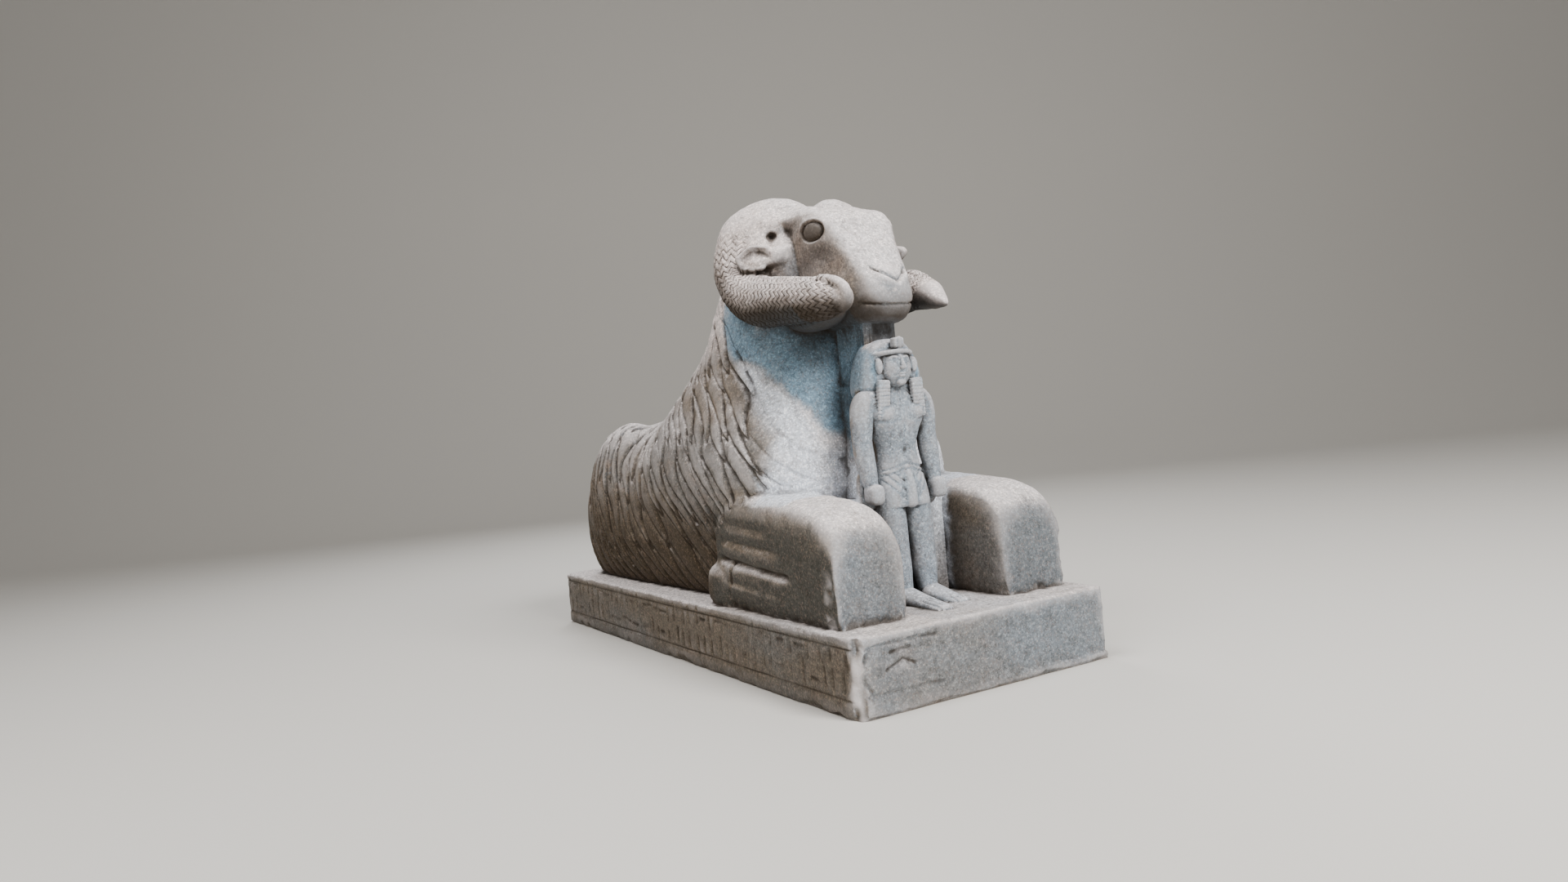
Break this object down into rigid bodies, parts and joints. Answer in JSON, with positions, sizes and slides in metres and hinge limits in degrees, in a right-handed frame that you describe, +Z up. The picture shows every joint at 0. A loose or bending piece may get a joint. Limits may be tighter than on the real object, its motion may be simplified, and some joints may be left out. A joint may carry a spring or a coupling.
{
  "type": "ram statue",
  "caption": "Recumbent granite ram on its plinth, with a small standing king against its chest between the forelegs.",
  "frame": {"origin": "centre of the plinth's underside", "axes": "+Z up, the ram faces -Y, its left flank is on +X"},
  "size_m": [0.63, 1.63, 1.0652],
  "materials": {
    "granite": "worn, finely pitted, matt"
  },
  "bodies": {
    "root": {"ram_statue": "granite"}
  },
  "joints": []
}
